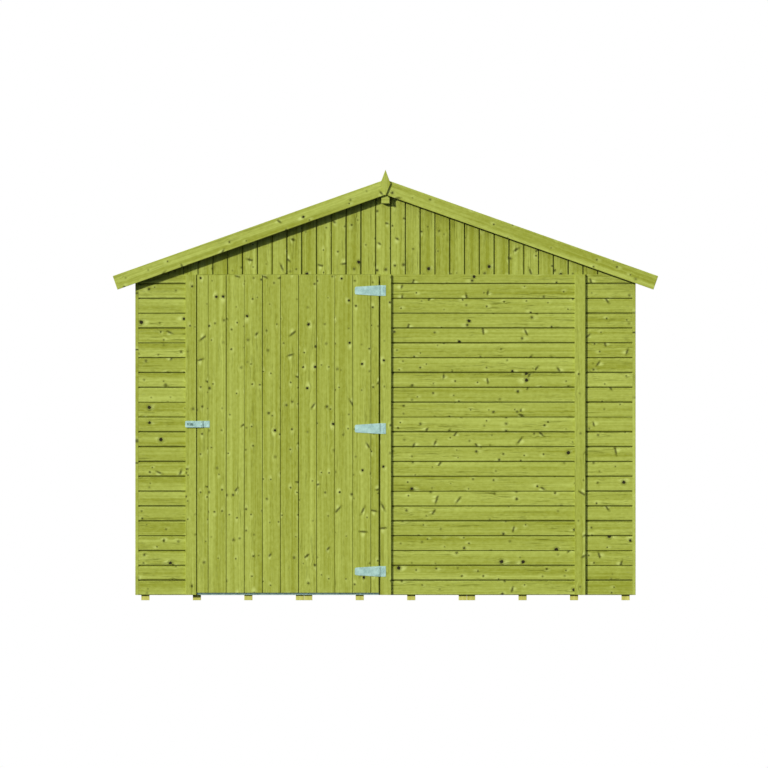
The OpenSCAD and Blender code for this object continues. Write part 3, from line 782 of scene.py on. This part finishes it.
def board_section(low, high, thick, low_edge, high_edge):
    """Outline of a board's section as (across, depth, shade), with the face at depth 0.

    An edge is a gap and a bevel. Where the gap is 0 the edge has no tongue or groove. The shade says how
    much painted shade, with some dust, a place in the joint gets.
    """
    (low_gap, low_bevel), (high_gap, high_bevel) = low_edge, high_edge
    a, b = low + low_gap / 2, high - high_gap / 2
    outline = [(a, low_bevel, BEVEL_SHADE), (a + low_bevel, 0.0, 0.0)] if low_bevel else [(a, 0.0, 0.0)]
    outline += [((a + b) / 2, 0.0, 0.0)]
    outline += [(b - high_bevel, 0.0, 0.0), (b, high_bevel, BEVEL_SHADE)] if high_bevel else [(b, 0.0, 0.0)]
    if high_gap:
        tongue = b + high_gap + TONGUE
        places = ((b, TONGUE_TOP), (tongue, TONGUE_TOP), (tongue, TONGUE_UNDER), (b, TONGUE_UNDER))
        outline += [(x, share * thick, 1.0) for x, share in places]
    outline += [(b, thick, 0.0), (a, thick, 0.0)]
    if low_gap:
        groove = a + TONGUE + TONGUE_ROOM
        places = ((a, GROOVE_UNDER), (groove, GROOVE_UNDER), (groove, GROOVE_TOP), (a, GROOVE_TOP))
        outline += [(x, share * thick, 1.0) for x, share in places]
    return outline


sample = board_section(0.0, 0.09, THICK, (0.005, 0.003), (0.005, 0.003))
print("Section of a board, millimetres:", [(round(x * 1000, 1), round(d * 1000, 1)) for x, d, _ in sample])

# %% [markdown]
# ## One board
# The section is swept along the board in a few stations, and each is shifted by part of a millimetre, as no
# board is quite straight. Each end may slope, which cuts the gable boards to the roof. A cube scaled to size
# could do neither.

# %% Sweep one board
STATION = 0.22
BOW = 0.0004
SWAY_WAVE, CUP_WAVE = 2.6, 1.9
FACE_DEPTH = 0.001
X, Y, Z = Vector((1, 0, 0)), Vector((0, 1, 0)), Vector((0, 0, 1))


def sweep_board(stack, way, outline, start, end, board, heart=None):
    """Adds one board. way holds the origin and the directions along, across and into the wall."""
    origin, along, across, inward = way
    edges = [point[0] for point in outline]
    middle = (min(edges) + max(edges)) / 2
    heart = middle if heart is None else heart
    length = end(middle) - start(middle)
    count = max(2, int(length / STATION) + 1)
    phase, bend = draw_phase(), draw_phase()
    points, grain, joints = [], [], []
    for i in range(count):
        share = i / (count - 1)
        for w, d, shade in outline:
            s = start(w) + (end(w) - start(w)) * share
            sway = BOW * math.sin(SWAY_WAVE * s + phase)
            cup = BOW * (1.0 + math.sin(CUP_WAVE * s + bend)) * (0.5 if d < FACE_DEPTH else 0.0)
            points.append(origin + along * s + across * (w + sway) + inward * (d + cup))
            grain.append((s, w - heart, d))
            joints.append(shade)
    faces = bands(count, len(outline)) + [first_cap(len(outline)), last_cap(count, len(outline))]
    if along.cross(across).dot(inward) > 0:
        faces = [face[::-1] for face in faces]
    stack.add(points, faces, grain, board, joints)


def level_cut(place):
    """An end that is square to the board."""
    return lambda across: place


print("A board of 2 m has", int(2.0 / STATION) + 1, "stations")

# %% [markdown]
# ## Walls of level boards
# Each wall panel was nailed up flat before the shed went together, so its boards end at the panel's
# joints. They start from the bottom with the tongue upwards, which sheds the rain. The first course is a
# little narrower, the last is ripped to what is left under the gable, and every panel of the shed lines up.

# %% Level boards
COURSE = 0.0905
FIRST_COURSE = 0.121
WALL_JOINT = (0.0045, 0.0042)
WALL_SPREAD = (0.6, 1.4)
WALL_LOOK = {"knotty": 0.92, "calm": 0.25}
DRIP = 0.004
LEAST_BOARD = 0.2
STUD_REACH = 0.1
NAIL_CLEAR = 0.01
NAIL_STRAY = 0.006


def courses(low, high, first, cover, joint, spread, drip=0.0):
    """Boards between low and high, with joints at first + n * cover: their sides and their two edges.

    joint is the usual gap and bevel. spread is how much narrower or wider than that a gap can be, and
    drip is the bevel under the lowest board.
    """
    least = LEAST_BOARD * cover
    numbers = range(math.floor((low - first) / cover), math.ceil((high - first) / cover) + 1)
    inside = [first + n * cover for n in numbers if low + least < first + n * cover < high - least]
    places = [low] + inside + [high]
    gaps = [joint[0] * DICE.uniform(*spread) for _ in inside]
    edges = [(0.0, drip)] + [(gap, min(joint[1], gap)) for gap in gaps] + [(0.0, 0.0)]
    return list(zip(places[:-1], places[1:], edges[:-1], edges[1:]))


def level_wall(name, node, along, inward, spans):
    """Level boards that replace one slab of cladding. spans are its panels, measured along the wall."""
    corner_low, corner_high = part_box(node)
    face = corner_low if inward.dot(X + Y) > 0 else corner_high
    origin = Vector([face[i] * abs(inward[i]) for i in range(3)])
    way = (origin, along, Z, inward)
    studs = [stud.dot(along) for stud in STUDS if 0.0 < (stud - origin).dot(inward) < STUD_REACH]
    stack = Stack()
    for start, end in spans:
        rows = courses(corner_low.z, corner_high.z, FIRST_COURSE, COURSE, WALL_JOINT, WALL_SPREAD, DRIP)
        for a, b, low_edge, high_edge in rows:
            for place in studs:
                if start + NAIL_CLEAR < place < end - NAIL_CLEAR:
                    height = (a + b) / 2 + DICE.uniform(-NAIL_STRAY, NAIL_STRAY)
                    nail(SHED_METAL, origin + along * place + Z * height, -inward)
            outline = board_section(a, b, THICK, low_edge, high_edge)
            sweep_board(stack, way, outline, level_cut(start), level_cut(end), draw_board(**WALL_LOOK))
    stack.make(name, "shed", *TREATED, node)
    print(name, len(rows) * len(spans), "boards")


for side in ("left", "right", "end"):
    node = "front_cladding_" + side
    level_wall("front_boards_" + side, node, X, Y, [(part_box(node)[0].x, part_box(node)[1].x)])

# %% [markdown]
# ### Panels of the back and the sides
# The model has one slab for the back and one for each side, but the real ones are panels too. The back has
# the same narrow end panels as the front, so the front's last joint gives the place and the gap of all.

# %% Panels of the back and the sides
joint_from, joint_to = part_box("front_cladding_right")[1].x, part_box("front_cladding_end")[0].x
end_joint, half_gap = (joint_from + joint_to) / 2, (joint_to - joint_from) / 2


def panels(start, end, joints):
    """Spans between the joints, each drawn in by half the gap of a joint."""
    starts = [start] + [place + half_gap for place in joints]
    ends = [place - half_gap for place in joints] + [end]
    return list(zip(starts, ends))


back_low, back_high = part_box("back_cladding")
back_panels = panels(back_low.x, back_high.x, [-end_joint, 0.0, end_joint])
level_wall("back_boards", "back_cladding", X, -Y, back_panels)
side_low, side_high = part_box("right_cladding")
for side, inward in (("right", -X), ("left", X)):
    level_wall(side + "_boards", side + "_cladding", Y, inward, panels(side_low.y, side_high.y, [0.0]))

# %% [markdown]
# ## Gables of upright boards
# Above the walls the boards stand upright, and their tops are cut to the slope of the roof. The ridge beam
# runs out through both gables, so the board that meets it is notched: a full board up to the beam, and a
# strip on each side of it. The gables' boards are painted darker than the walls', as painted shade under the
# roof's overhang.

# %% Upright boards of a gable
ROOF_PITCH = math.radians(19.5)
GABLE_COVER = 0.0903
GABLE_JOINT = 0.032
GABLE_EDGE = (0.005, 0.0029)
GABLE_SPREAD = (0.75, 1.25)
# shade paints the gable boards darker: painted shade under the roof's overhang
GABLE_LOOK = {"knotty": 0.92, "calm": 0.15, "shade": 0.6}
PLAIN = (0.0, 0.0)
NAIL_FOOT, NAIL_TOP = 0.02, 0.05
beam_low, beam_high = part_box("ridge_beam")


def gable(name, inward, nodes):
    """Upright boards that replace the slabs of one gable."""
    corner_low, corner_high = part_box(nodes[0])
    other_low, other_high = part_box(nodes[-1])
    x0, x1 = min(corner_low.x, other_low.x), max(corner_high.x, other_high.x)
    foot, apex = corner_low.z, corner_high.z
    origin = Vector((0.0, corner_low.y if inward.y > 0 else corner_high.y, 0.0))
    way = (origin, Z, X, inward)
    stack = Stack()
    rows = courses(x0, x1, GABLE_JOINT, GABLE_COVER, GABLE_EDGE, GABLE_SPREAD)

    def slope(x):
        return apex - abs(x) * math.tan(ROOF_PITCH)

    for a, b, low_edge, high_edge in rows:
        board = draw_board(**GABLE_LOOK)
        heart = (a + b) / 2
        for height in (foot + NAIL_FOOT, slope(heart) - NAIL_TOP):
            nail(SHED_METAL, origin + Z * height + X * heart, -inward)
        outline = board_section(a, b, THICK, low_edge, high_edge)
        if a < beam_low.x and b > beam_high.x:
            sweep_board(stack, way, outline, level_cut(foot), level_cut(beam_low.z), board, heart)
            for start, end, *edges in ((a, beam_low.x, low_edge, PLAIN), (beam_high.x, b, PLAIN, high_edge)):
                outline = board_section(start, end, THICK, *edges)
                sweep_board(stack, way, outline, level_cut(beam_low.z), slope, board, heart)
        else:
            sweep_board(stack, way, outline, level_cut(foot), slope, board, heart)
    stack.make(name, "shed", *TREATED, *nodes)
    print(name, len(rows), "boards")


gable("front_gable_boards", Y, ["front_gable_left", "front_gable_right"])
gable("back_gable_boards", -Y, ["back_gable"])

# %% [markdown]
# ## Door boards
# The door leaf is upright matchboard with a smaller V than the walls, chosen from wood of an even tone. Each
# board is nailed twice to each of the three ledges behind it.

# %% Door boards
DOOR_COVER = 0.1103
DOOR_JOINT = -1.0812
DOOR_EDGE = (0.002, 0.0018)
DOOR_SPREAD = (0.5, 1.7)
DOOR_CALM = 0.55
LEDGE_NAILS = (0.25, 0.75)
leaf_low, leaf_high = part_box("door_boards")
way = (Vector((0.0, leaf_low.y, 0.0)), Z, X, Y)
stack = Stack()
rows = courses(leaf_low.x, leaf_high.x, DOOR_JOINT, DOOR_COVER, DOOR_EDGE, DOOR_SPREAD)
ledges = part_spans("door_ledges")
for a, b, low_edge, high_edge in rows:
    for lows, highs in ledges:
        for share in LEDGE_NAILS:
            height = lows.z + share * (highs.z - lows.z)
            nail(DOOR_METAL, Vector(((a + b) / 2, leaf_low.y, height)), -Y)
    outline = board_section(a, b, THICK, low_edge, high_edge)
    board = draw_board(calm=DOOR_CALM)
    sweep_board(stack, way, outline, level_cut(leaf_low.z), level_cut(leaf_high.z), board)
stack.make("door_matchboard", "door", *TREATED, "door_boards")
print("Door:", len(rows), "boards")

# %% [markdown]
# ## Roof boards
# The roof boards run from gable to gable over the rafters. Their tops are hidden by the felt, and their
# faces look down, inside the shed and under the overhang. So the section is swept with its face below.

# %% Roof boards
ROOF_COVERS = 18
ROOF_EDGE = (0.002, 0.002)
EVEN_SPREAD = (0.8, 1.2)
FELT_THICK = 0.0032
BOARDS_UNDER = 0.015
roof_low, roof_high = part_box("roof_felt_right")
ridge = Vector((0.0, 0.0, roof_high.z))
slope_length = roof_high.x / math.cos(ROOF_PITCH)


def slope_ways(side):
    """Down the slope and out of it, for the right side (1) or the left (-1)."""
    down = Vector((side * math.cos(ROOF_PITCH), 0.0, -math.sin(ROOF_PITCH)))
    up = Vector((side * math.sin(ROOF_PITCH), 0.0, math.cos(ROOF_PITCH)))
    return down, up


for side, node in ((1, "roof_boards_right"), (-1, "roof_boards_left")):
    down, up = slope_ways(side)
    boards_low, boards_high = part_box(node)
    first = BOARDS_UNDER * math.tan(ROOF_PITCH)
    cover = (slope_length - FELT_THICK - first) / ROOF_COVERS
    last = first + ROOF_COVERS * cover
    way = (ridge - up * BOARDS_UNDER, Y, down, up)
    stack = Stack()
    for a, b, low_edge, high_edge in courses(first, last, first, cover, ROOF_EDGE, EVEN_SPREAD):
        outline = board_section(a, b, BOARDS_UNDER - FELT_THICK, low_edge, high_edge)
        sweep_board(stack, way, outline, level_cut(boards_low.y), level_cut(boards_high.y), draw_board())
    stack.make(node + "_matched", "shed", *TREATED, node)
print("Roof boards cover", round(cover * 1000, 1), "mm each")

# %% [markdown]
# ## Planed sticks
# Studs, rails, joists, strips and trims come from the model as square solids. Planed timber has its arrises
# eased by a millimetre or two, and its grain runs lengthwise in each stick, whichever way it lies. So each
# solid is copied on its own, its longest edge gives the grain's direction, and a small bevel goes round it.

# %% Plane one stick
ARRIS = 0.0018
ARRIS_STEPS = 2
ALONG_LIMIT = 0.05


def planed(stack, corners, faces, arris, along, calm):
    """Adds one stick with eased arrises and grain along its longest edge."""
    solid = bmesh.new()
    made = [solid.verts.new(c) for c in corners]
    for face in faces:
        solid.faces.new([made[i] for i in face])
    bmesh.ops.recalc_face_normals(solid, faces=solid.faces)
    if along is None:
        longest = max(solid.edges, key=lambda e: round(e.calc_length(), 5))
        along = (longest.verts[1].co - longest.verts[0].co).normalized()
    sides = [f for f in solid.faces if abs(f.normal.dot(along)) < ALONG_LIMIT]
    broad = max(sides, key=lambda f: round(f.calc_area(), 6))
    inward, face_point = -broad.normal, broad.verts[0].co.copy()
    across = inward.cross(along)
    widths = [v.co.dot(across) for v in solid.verts]
    heart = (min(widths) + max(widths)) / 2
    bmesh.ops.bevel(
        solid, geom=solid.edges[:], offset=arris, offset_type="OFFSET", segments=ARRIS_STEPS, profile=0.5,
        affect="EDGES", clamp_overlap=True,
    )
    solid.verts.index_update()
    points = [v.co.copy() for v in solid.verts]
    grain = [(p.dot(along), p.dot(across) - heart, (p - face_point).dot(inward)) for p in points]
    stack.add(points, [[v.index for v in f.verts] for f in solid.faces], grain, draw_board(calm=calm))
    solid.free()


def sticks(node, cut="planed", body="shed", wood=TREATED, arris=ARRIS, along=None, calm=0.0):
    """Gives every stick of a node its arrises, in one piece that replaces the node."""
    stack = Stack()
    parts = loose_parts(node)
    for corners, faces in parts:
        planed(stack, corners, faces, arris, along, calm)
    stack.make(node + "_" + cut, body, *wood, node)
    print(node, len(parts), "sticks,", len(stack.faces), "faces")


for node in (
    "front_studs", "door_jambs", "back_studs", "side_studs", "wall_rails", "side_rails", "eaves_rails",
    "gable_soles", "gable_posts", "gable_rafters", "ridge_beam", "roof_rails", "roof_rafters",
    "eaves_battens",
):
    sticks(node)

# %% [markdown]
# ### Trims, door frame and joists
# Strips, barge boards, ledges and braces are planed rounder than the frame, because hands and eyes meet
# them. Corner trims and the diamonds at the peaks are thinner, so their arrises are smaller. Strips and
# trims come from wood of an even tone. The joists are only sawn, so they stay nearly sharp.

# %% Trims, door frame and joists
TRIM_ARRIS, CORNER_ARRIS, DOOR_ARRIS, SAWN_ARRIS = 0.0022, 0.0015, 0.003, 0.001
STRIP_CALM, CORNER_CALM = 0.7, 0.8
for node in ("front_cover_strips", "back_cover_strips", "side_cover_strips"):
    sticks(node, arris=TRIM_ARRIS, calm=STRIP_CALM)
sticks("corner_trims", arris=CORNER_ARRIS, calm=CORNER_CALM)
for node in ("barge_boards_left", "barge_boards_right"):
    sticks(node, arris=TRIM_ARRIS)
sticks("finials", arris=CORNER_ARRIS, along=Z)
for node in ("door_ledges", "door_braces"):
    sticks(node, body="door", arris=DOOR_ARRIS)
sticks("floor_joists", "sawn", wood=FLOORING, arris=SAWN_ARRIS)

# %% [markdown]
# ## Floor boards
# The floor boards lie across the joists in three panels, tight together, with hardly any V to catch the
# dirt. The section is the same as the walls', with its face up.

# %% Floor boards
FLOOR_ROWS = 24
FLOOR_EDGE = (0.0008, 0.0008)
stack = Stack()
for lows, highs in part_spans("floor_boards"):
    cover = (highs.y - lows.y) / FLOOR_ROWS
    way = (Vector((0.0, 0.0, highs.z)), X, Y, -Z)
    for a, b, low_edge, high_edge in courses(lows.y, highs.y, lows.y, cover, FLOOR_EDGE, EVEN_SPREAD):
        outline = board_section(a, b, THICK, low_edge, high_edge)
        sweep_board(stack, way, outline, level_cut(lows.x), level_cut(highs.x), draw_board())
stack.make("floor_matched_boards", "shed", *FLOORING, "floor_boards")
print("Floor boards cover", round(cover * 1000, 1), "mm each")

# %% [markdown]
# ## Felt
# Shed felt comes on rolls a metre wide. The lower sheet of each slope is laid first and folded down over
# the eaves, the upper one laps over it, and a cap covers the ridge. One slab of felt would show none of
# that. So each sheet is a thin profile swept along the roof, with edges that waver as hand-cut ones do. The
# bitumen bleeds a little at each lap.

# %% One sheet of felt
SHEET = 0.0011
BLEED = 0.009
STATIONS = 32
EDGE_SWAY, EDGE_STRAY, EDGE_WAVE = 0.0016, 0.0006, 5.3
RIPPLE, RIPPLE_WAVE, RIPPLE_WAVE_DOWN = 0.00025, 7.0, 9.0
RIPPLE_CLEAR = 0.05
felt_stack = Stack()


def felt_sheet(side, path, wavers):
    """Sweeps a sheet from gable to gable. path runs down the slope: distance, depth and which way is in."""
    down, up = slope_ways(side)
    if wavers:
        s, d, _ = path[-1]
        path = path[:-1] + [(s - BLEED, d, "top"), path[-1]]
    outline = [(s, d) for s, d, _ in path]
    outline += [(s - SHEET * (face != "top"), d + SHEET * (face != "eaves")) for s, d, face in path[::-1]]
    board, phase = draw_board(), draw_phase()
    points, grain, dark = [], [], []
    for i in range(STATIONS + 1):
        y = roof_low.y + (roof_high.y - roof_low.y) * i / STATIONS
        for k, (s, d) in enumerate(outline):
            edge = wavers and k in (len(path) - 1, len(path))
            sway, wave = 0.0, 0.0
            if edge:
                sway = EDGE_SWAY * math.sin(EDGE_WAVE * y + phase) + DICE.uniform(-EDGE_STRAY, EDGE_STRAY)
            if RIPPLE_CLEAR < s < slope_length - RIPPLE_CLEAR:
                wave = RIPPLE * math.sin(RIPPLE_WAVE * y + RIPPLE_WAVE_DOWN * s + phase)
            points.append(Vector((0.0, y, ridge.z)) + down * (s + sway) - up * (d + wave))
            grain.append((s, y, d))
            dark.append(1.0 if edge else 0.0)
    count = len(outline)
    faces = bands(STATIONS + 1, count) + [first_cap(count), last_cap(STATIONS + 1, count)]
    if side < 0:
        faces = [face[::-1] for face in faces]
    felt_stack.add(points, faces, grain, board, dark)


print("Felt is", SHEET * 1000, "mm thick")

# %% [markdown]
# ### Laying the felt
# Each slope gets its lower sheet, its upper sheet and its half of the cap. Galvanized clout nails with broad
# heads hold the laps closely, and the ends and the fold at a wider spacing.

# %% Lay the felt and nail it
BED, OVER = 0.0018, 0.0006
LAP_FROM, LAP_TO = 0.8, 0.9
UNDER_LAP = 0.02
CAP = 0.15
FOLD = 0.0445
EAVES_IN = 0.0008
TOP_RUN, LOW_RUN = [0.2, 0.45, 0.65], [1.1, 1.4, 1.65]
LAP_SPACING, FOLD_SPACING, END_SPACING = 0.06, 0.09, 0.15
LAP_IN, END_IN, FOLD_DOWN, LAP_CLEAR = 0.015, 0.02, 0.03, 0.04
CLOUT_STRAY = 0.003


def steps(start, end, spacing):
    """Places from start to end at about the spacing, each a few millimetres off."""
    count = max(2, round((end - start) / spacing) + 1)
    return [
        start + (end - start) * i / (count - 1) + DICE.uniform(-CLOUT_STRAY, CLOUT_STRAY)
        for i in range(count)
    ]


eaves_face = slope_length - EAVES_IN
bed_ridge, over_ridge = BED * math.tan(ROOF_PITCH), OVER * math.tan(ROOF_PITCH)
for side in (1, -1):
    down, up = slope_ways(side)
    lower = [(s, BED, "top") for s in [LAP_FROM] + LOW_RUN]
    lower += [(eaves_face, BED, "corner"), (eaves_face, FOLD, "eaves")]
    felt_sheet(side, lower, False)
    upper = [(s, BED, "top") for s in [bed_ridge] + TOP_RUN + [LAP_FROM - UNDER_LAP]]
    upper += [(LAP_FROM, OVER, "top"), (LAP_TO, OVER, "top")]
    felt_sheet(side, upper, True)
    felt_sheet(side, [(s, OVER, "top") for s in (over_ridge, 0.5 * CAP, CAP)], True)

    ends = (roof_low.y + END_IN, roof_high.y - END_IN)
    for y in steps(*ends, LAP_SPACING):
        for edge in (LAP_TO, CAP):
            nail(SHED_METAL, ridge + Y * y + down * (edge - LAP_IN) - up * OVER, up, CLOUT)
    for y in steps(*ends, FOLD_SPACING):
        nail(SHED_METAL, ridge + Y * y + down * eaves_face - up * FOLD_DOWN, down, CLOUT)
    for y in ends:
        upper_run = steps(CAP + LAP_CLEAR, LAP_FROM - LAP_CLEAR, END_SPACING)
        for s in upper_run + steps(LAP_TO + LAP_CLEAR, slope_length - LAP_CLEAR, END_SPACING):
            nail(SHED_METAL, ridge + Y * y + down * s - up * BED, up, CLOUT)

felt_stack.make("felt_sheets", "shed", felt, "roofing_felt", "roof_felt_left", "roof_felt_right")
print("Felt sheets have", len(felt_stack.faces), "faces")

# %% [markdown]
# ## Metal
# The hinges, hasp, staple and threshold keep the model's own solids, since those turn on their pins as
# drawn, and get the zinc finish. What they lack is screws, which go through plates, straps and leaf where
# such hinges have their holes.

# %% Zinc on the hinges, and their screws
METAL = "zinc_plated_steel"
PLATE_THICK = 0.002
HINGE_HALF = 0.021
PLATE_IN = 0.017
STRAP_SCREWS = ((0.024, -HINGE_HALF), (0.024, HINGE_HALF), (0.075, 0.0), (0.132, 0.0))
HASP_EDGE = 0.009
LEAF_SCREWS, BASE_SCREWS = (0.009, 0.029), (0.006, 0.028)

for node in ("hinge_plates", "hinge_straps", "hasp_leaf", "hasp_arm", "hasp_staple", "threshold_plate"):
    NODES[node].data.materials.clear()
    NODES[node].data.materials.append(zinc)

plate_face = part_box("front_cover_strips")[0].y - PLATE_THICK
for lows, highs in part_spans("hinge_plates"):
    for dz in (-HINGE_HALF, 0.0, HINGE_HALF):
        screw(SHED_METAL, Vector((highs.x - PLATE_IN, plate_face, (lows.z + highs.z) / 2 + dz)), -Y)
for lows, highs in part_spans("hinge_straps"):
    for dx, dz in STRAP_SCREWS:
        screw(DOOR_METAL, Vector((highs.x - dx, plate_face, (lows.z + highs.z) / 2 + dz)), -Y)
leaf_low, leaf_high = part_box("hasp_leaf")
base_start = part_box("hasp_staple")[0].x
for height in (leaf_low.z + HASP_EDGE, leaf_high.z - HASP_EDGE):
    for dx in LEAF_SCREWS:
        screw(DOOR_METAL, Vector((leaf_high.x - dx, plate_face, height)), -Y, SMALL_SCREW)
    for dx in BASE_SCREWS:
        screw(SHED_METAL, Vector((base_start + dx, plate_face, height)), -Y, SMALL_SCREW)
for place, metal in (("shed", SHED_METAL), ("door", DOOR_METAL)):
    metal.make(place + "_nails_and_screws", place, zinc, METAL)
    print("Nails and screws on the", place, "have", len(metal.faces), "faces")
